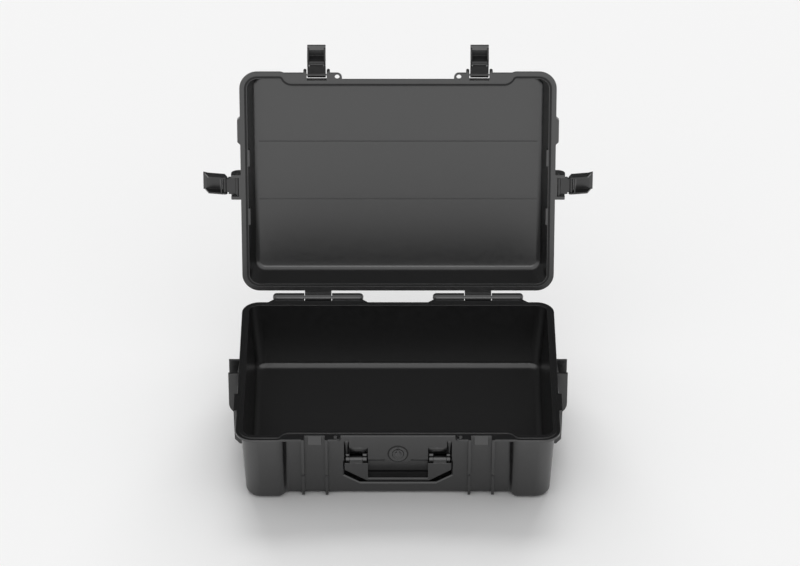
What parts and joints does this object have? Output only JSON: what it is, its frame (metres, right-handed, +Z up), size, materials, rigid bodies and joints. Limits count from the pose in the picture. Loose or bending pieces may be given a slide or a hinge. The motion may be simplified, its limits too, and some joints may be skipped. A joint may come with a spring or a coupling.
{
  "type": "equipment case",
  "caption": "Rugged moulded plastic equipment case with hinged lid, draw latches, folding front handle, pressure valve and rim gasket, shown open.",
  "frame": {"origin": "middle of the flat face that the case stands on", "axes": "+X to the right seen from the front, +Y to the hinge side at the back, +Z up"},
  "size_m": [0.6584, 0.5264, 0.5671],
  "materials": {
    "shell_plastic": "moulded black polypropylene, fine satin grain",
    "latch_plastic": "moulded black glass-filled nylon",
    "handle_plastic": "moulded black polypropylene, satin",
    "valve_plastic": "moulded black nylon",
    "seal_rubber": "black silicone rubber",
    "pin_steel": "turned stainless steel"
  },
  "bodies": {
    "case_base": {"base_shell": "shell_plastic", "hinge_pin_left": "pin_steel", "hinge_pin_right": "pin_steel", "handle_pin_left": "pin_steel", "handle_pin_right": "pin_steel", "valve_body": "valve_plastic", "valve_body_seal": "seal_rubber", "valve_nut": "valve_plastic"},
    "lid": {"lid_shell": "shell_plastic", "lid_gasket": "seal_rubber", "latch_pivot_pin_front_left": "pin_steel", "latch_pivot_pin_front_right": "pin_steel", "latch_pivot_pin_side_left": "pin_steel", "latch_pivot_pin_side_right": "pin_steel"},
    "handle": {"front_handle": "handle_plastic"},
    "valve_knob": {"valve_knob": "valve_plastic", "valve_stem_oring": "seal_rubber"},
    "link_front_left": {"latch_link_front_left": "latch_plastic"},
    "lever_front_left": {"latch_lever_front_left": "latch_plastic", "latch_joint_pin_front_left": "pin_steel"},
    "link_front_right": {"latch_link_front_right": "latch_plastic"},
    "lever_front_right": {"latch_lever_front_right": "latch_plastic", "latch_joint_pin_front_right": "pin_steel"},
    "link_side_left": {"latch_link_side_left": "latch_plastic"},
    "lever_side_left": {"latch_lever_side_left": "latch_plastic", "latch_joint_pin_side_left": "pin_steel"},
    "link_side_right": {"latch_link_side_right": "latch_plastic"},
    "lever_side_right": {"latch_lever_side_right": "latch_plastic", "latch_joint_pin_side_right": "pin_steel"}
  },
  "joints": [
    {"name": "lid_hinge", "type": "hinge", "parent": "case_base", "child": "lid", "pos_m": [0, 0.21, 0.1236], "axis": [1, 0, 0], "range_deg": [0, 101]},
    {"name": "link_front_left_pivot", "type": "hinge", "parent": "lid", "child": "link_front_left", "pos_m": [-0.1355, 0.29266, 0.51583], "axis": [1, 0, 0], "range_deg": [0, 74]},
    {"name": "lever_front_left_joint", "type": "hinge", "parent": "link_front_left", "child": "lever_front_left", "pos_m": [-0.1355, 0.29074, 0.53775], "axis": [-1, 0, 0], "range_deg": [0, 55]},
    {"name": "link_front_right_pivot", "type": "hinge", "parent": "lid", "child": "link_front_right", "pos_m": [0.1355, 0.29266, 0.51583], "axis": [1, 0, 0], "range_deg": [0, 74]},
    {"name": "lever_front_right_joint", "type": "hinge", "parent": "link_front_right", "child": "lever_front_right", "pos_m": [0.1355, 0.29074, 0.53775], "axis": [-1, 0, 0], "range_deg": [0, 55]},
    {"name": "link_side_left_pivot", "type": "hinge", "parent": "lid", "child": "link_side_left", "pos_m": [-0.2705, 0.25454, 0.31971], "axis": [0, 0.1908, 0.9816], "range_deg": [0, 102]},
    {"name": "lever_side_left_joint", "type": "hinge", "parent": "link_side_left", "child": "lever_side_left", "pos_m": [-0.29202, 0.25903, 0.31883], "axis": [0, -0.1908, -0.9816], "range_deg": [0, 55]},
    {"name": "link_side_right_pivot", "type": "hinge", "parent": "lid", "child": "link_side_right", "pos_m": [0.2705, 0.25454, 0.31971], "axis": [0, -0.1908, -0.9816], "range_deg": [0, 102]},
    {"name": "lever_side_right_joint", "type": "hinge", "parent": "link_side_right", "child": "lever_side_right", "pos_m": [0.29202, 0.25903, 0.31883], "axis": [0, 0.1908, 0.9816], "range_deg": [0, 55]},
    {"name": "handle_pivot", "type": "hinge", "parent": "case_base", "child": "handle", "pos_m": [0, -0.17658, 0.07], "axis": [-1, 0, 0], "range_deg": [0, 92]},
    {"name": "valve_knob_turn", "type": "hinge", "parent": "case_base", "child": "valve_knob", "pos_m": [0, -0.18274, 0.084], "axis": [0, -1, 0], "range_deg": [0, 180]}
  ]
}
